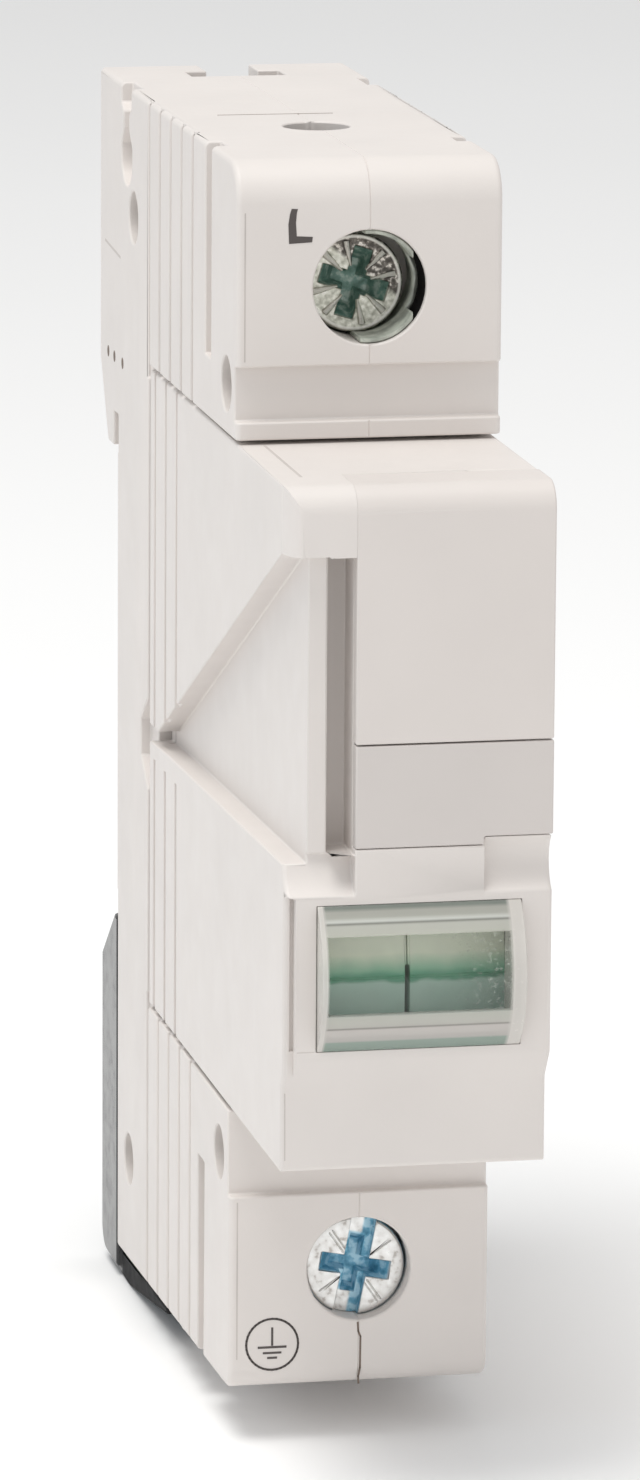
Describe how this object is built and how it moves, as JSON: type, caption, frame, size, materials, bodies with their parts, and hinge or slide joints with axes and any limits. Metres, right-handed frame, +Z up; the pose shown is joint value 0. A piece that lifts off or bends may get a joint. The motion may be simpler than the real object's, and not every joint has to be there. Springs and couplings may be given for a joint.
{
  "type": "surge protective device",
  "caption": "Slim surge protective device for a rail: riveted base with screw terminals above and below, black rail clip, and a pull-out module with a flag window.",
  "frame": {"origin": "middle of the face that seats on the rail, at mid-height of the 35 mm rail", "axes": "+X to the right seen from the front, +Y to the back into the panel, +Z up along the longest extent"},
  "size_m": [0.018, 0.0717, 0.0881],
  "materials": {
    "housing": "light grey moulded, fine matt",
    "module_plastic": "light grey moulded",
    "label_plate": "light grey, bare",
    "clip_plastic": "black moulded",
    "rivet_steel": "zinc plated",
    "screw_steel": "zinc plated",
    "cage_steel": "zinc plated",
    "copper": "plain copper alloy",
    "spring_steel": "drawn wire",
    "lens_clear": "clear plastic, smooth",
    "flag_green": "green moulded",
    "flag_red": "red moulded",
    "varistor_coat": "dipped coating"
  },
  "bodies": {
    "base": {"base_shell_left": "housing", "base_shell_right": "housing", "shell_rivets": "rivet_steel", "upper_busbar": "copper", "lower_busbar": "copper", "upper_socket_clip": "copper", "lower_socket_clip": "copper", "din_clip_spring": "spring_steel"},
    "rail_clip": {"din_clip": "clip_plastic"},
    "upper_screw": {"upper_terminal_screw": "screw_steel"},
    "lower_screw": {"lower_terminal_screw": "screw_steel"},
    "upper_cage": {"upper_terminal_cage": "cage_steel"},
    "lower_cage": {"lower_terminal_cage": "cage_steel"},
    "module": {"module_body": "module_plastic", "module_cover_left": "module_plastic", "module_cover_right": "module_plastic", "upper_label_panel": "label_plate", "lower_label_panel": "label_plate", "window_frame": "module_plastic", "window_lens": "lens_clear", "varistor_left": "varistor_coat", "varistor_right": "varistor_coat", "centre_electrode": "copper", "electrode_left": "copper", "electrode_right": "copper", "trip_strip_left": "copper", "trip_strip_right": "copper", "upper_blade": "copper", "lower_blade": "copper", "trip_spring_left": "spring_steel", "trip_spring_right": "spring_steel", "indicator_back": "flag_red"},
    "left_flag": {"trip_slider_left": "flag_green"},
    "right_flag": {"trip_slider_right": "flag_green"}
  },
  "joints": [
    {"name": "module_pull", "type": "slide", "parent": "base", "child": "module", "axis": [0, -1, 0], "range_m": [0, 0.045]},
    {"name": "clip_slide", "type": "slide", "parent": "base", "child": "rail_clip", "axis": [0, 0, -1], "range_m": [0, 0.0045], "stiffness_N_per_m": 3000, "deforming": ["din_clip_spring"]},
    {"name": "upper_screw_turn", "type": "hinge", "parent": "base", "child": "upper_screw", "pos_m": [0, -0.0388, 0.0351], "axis": [0, 1, 0], "range_deg": [0, 1080]},
    {"name": "upper_cage_slide", "type": "slide", "parent": "base", "child": "upper_cage", "axis": [0, -1, 0], "range_m": [0, 0.0024]},
    {"name": "lower_screw_turn", "type": "hinge", "parent": "base", "child": "lower_screw", "pos_m": [0, -0.0402, -0.0326], "axis": [0, 1, 0], "range_deg": [0, 1080]},
    {"name": "lower_cage_slide", "type": "slide", "parent": "base", "child": "lower_cage", "axis": [0, -1, 0], "range_m": [0, 0.0024]},
    {"name": "left_flag_drop", "type": "slide", "parent": "module", "child": "left_flag", "axis": [0, 0, -1], "range_m": [0, 0.0068], "deforming": ["trip_spring_left"]},
    {"name": "right_flag_drop", "type": "slide", "parent": "module", "child": "right_flag", "axis": [0, 0, -1], "range_m": [0, 0.0068], "deforming": ["trip_spring_right"]}
  ],
  "couplings": [
    {"joint": "upper_screw_turn", "follows": "upper_cage_slide", "rad_per_m": 7854},
    {"joint": "lower_screw_turn", "follows": "lower_cage_slide", "rad_per_m": 7854}
  ]
}
